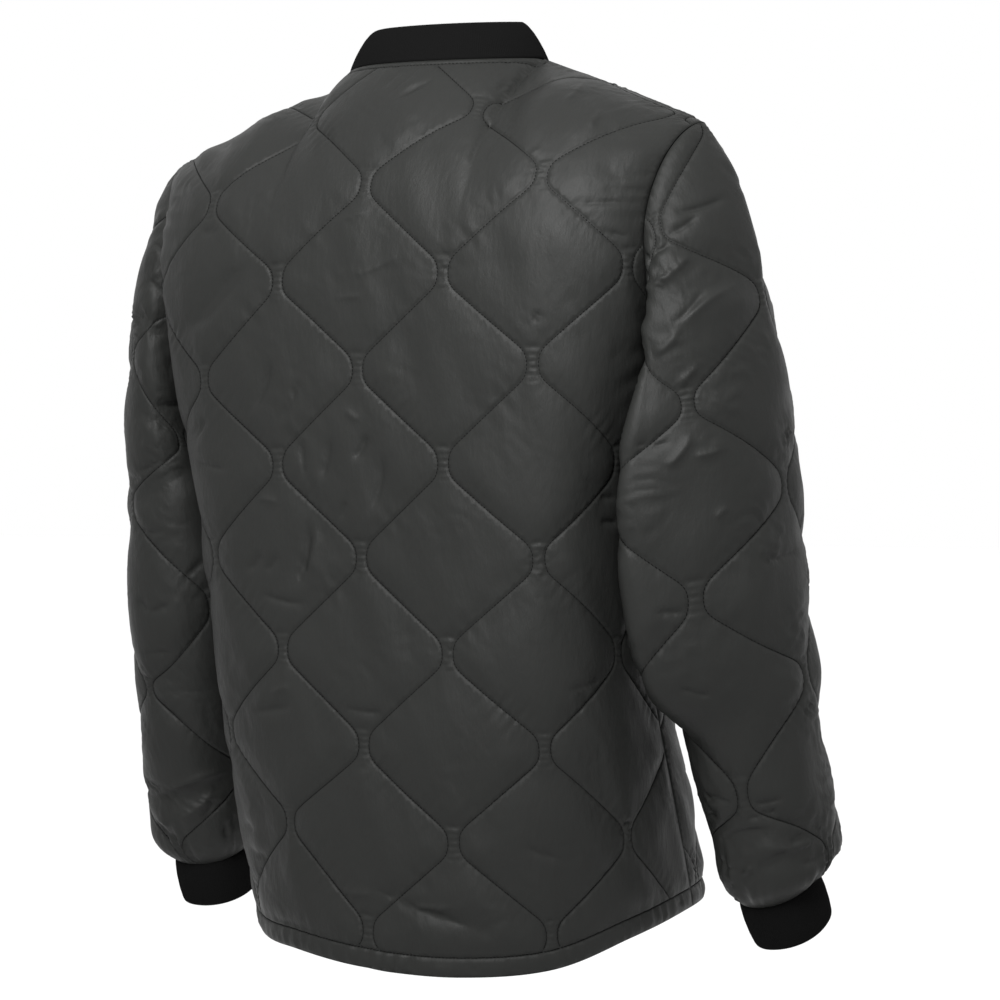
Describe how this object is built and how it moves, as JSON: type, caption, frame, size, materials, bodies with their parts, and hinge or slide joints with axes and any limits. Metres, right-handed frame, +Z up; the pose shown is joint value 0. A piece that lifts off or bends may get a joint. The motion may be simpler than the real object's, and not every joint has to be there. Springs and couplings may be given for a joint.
{
  "type": "quilted zip jacket",
  "caption": "Quilted jacket with long sleeves, rib-knit stand collar and cuffs and a centre front zip, filled out as worn and open at neck, hem and cuffs.",
  "frame": {"origin": "on the jacket's middle plane, level with the back neck seam, between the shoulders that hold it up", "axes": "+Z up, the wearer faces -Y, the wearer's left is +X"},
  "size_m": [0.6296, 0.3632, 0.7575],
  "materials": {
    "shell": "dark grey quilted nylon taffeta, soft sheen",
    "rib_knit": "black rib knit, matte",
    "zip_tape": "black woven tape",
    "zip_metal": "black enamelled zinc, satin"
  },
  "bodies": {
    "garment": {"back": "shell", "front_left": "shell", "front_right": "shell", "sleeve_left": "shell", "sleeve_right": "shell", "collar": "rib_knit", "cuff_left": "rib_knit", "cuff_right": "rib_knit", "zip_tape_left": "zip_tape", "zip_tape_right": "zip_tape", "zip_slider": "zip_metal"},
    "pull": {"zip_pull": "zip_metal"}
  },
  "joints": [
    {"name": "pull_hinge", "type": "hinge", "parent": "garment", "child": "pull", "pos_m": [0, -0.11499, -0.06901], "axis": [-1, 0, 0], "range_deg": [0, 150]}
  ]
}
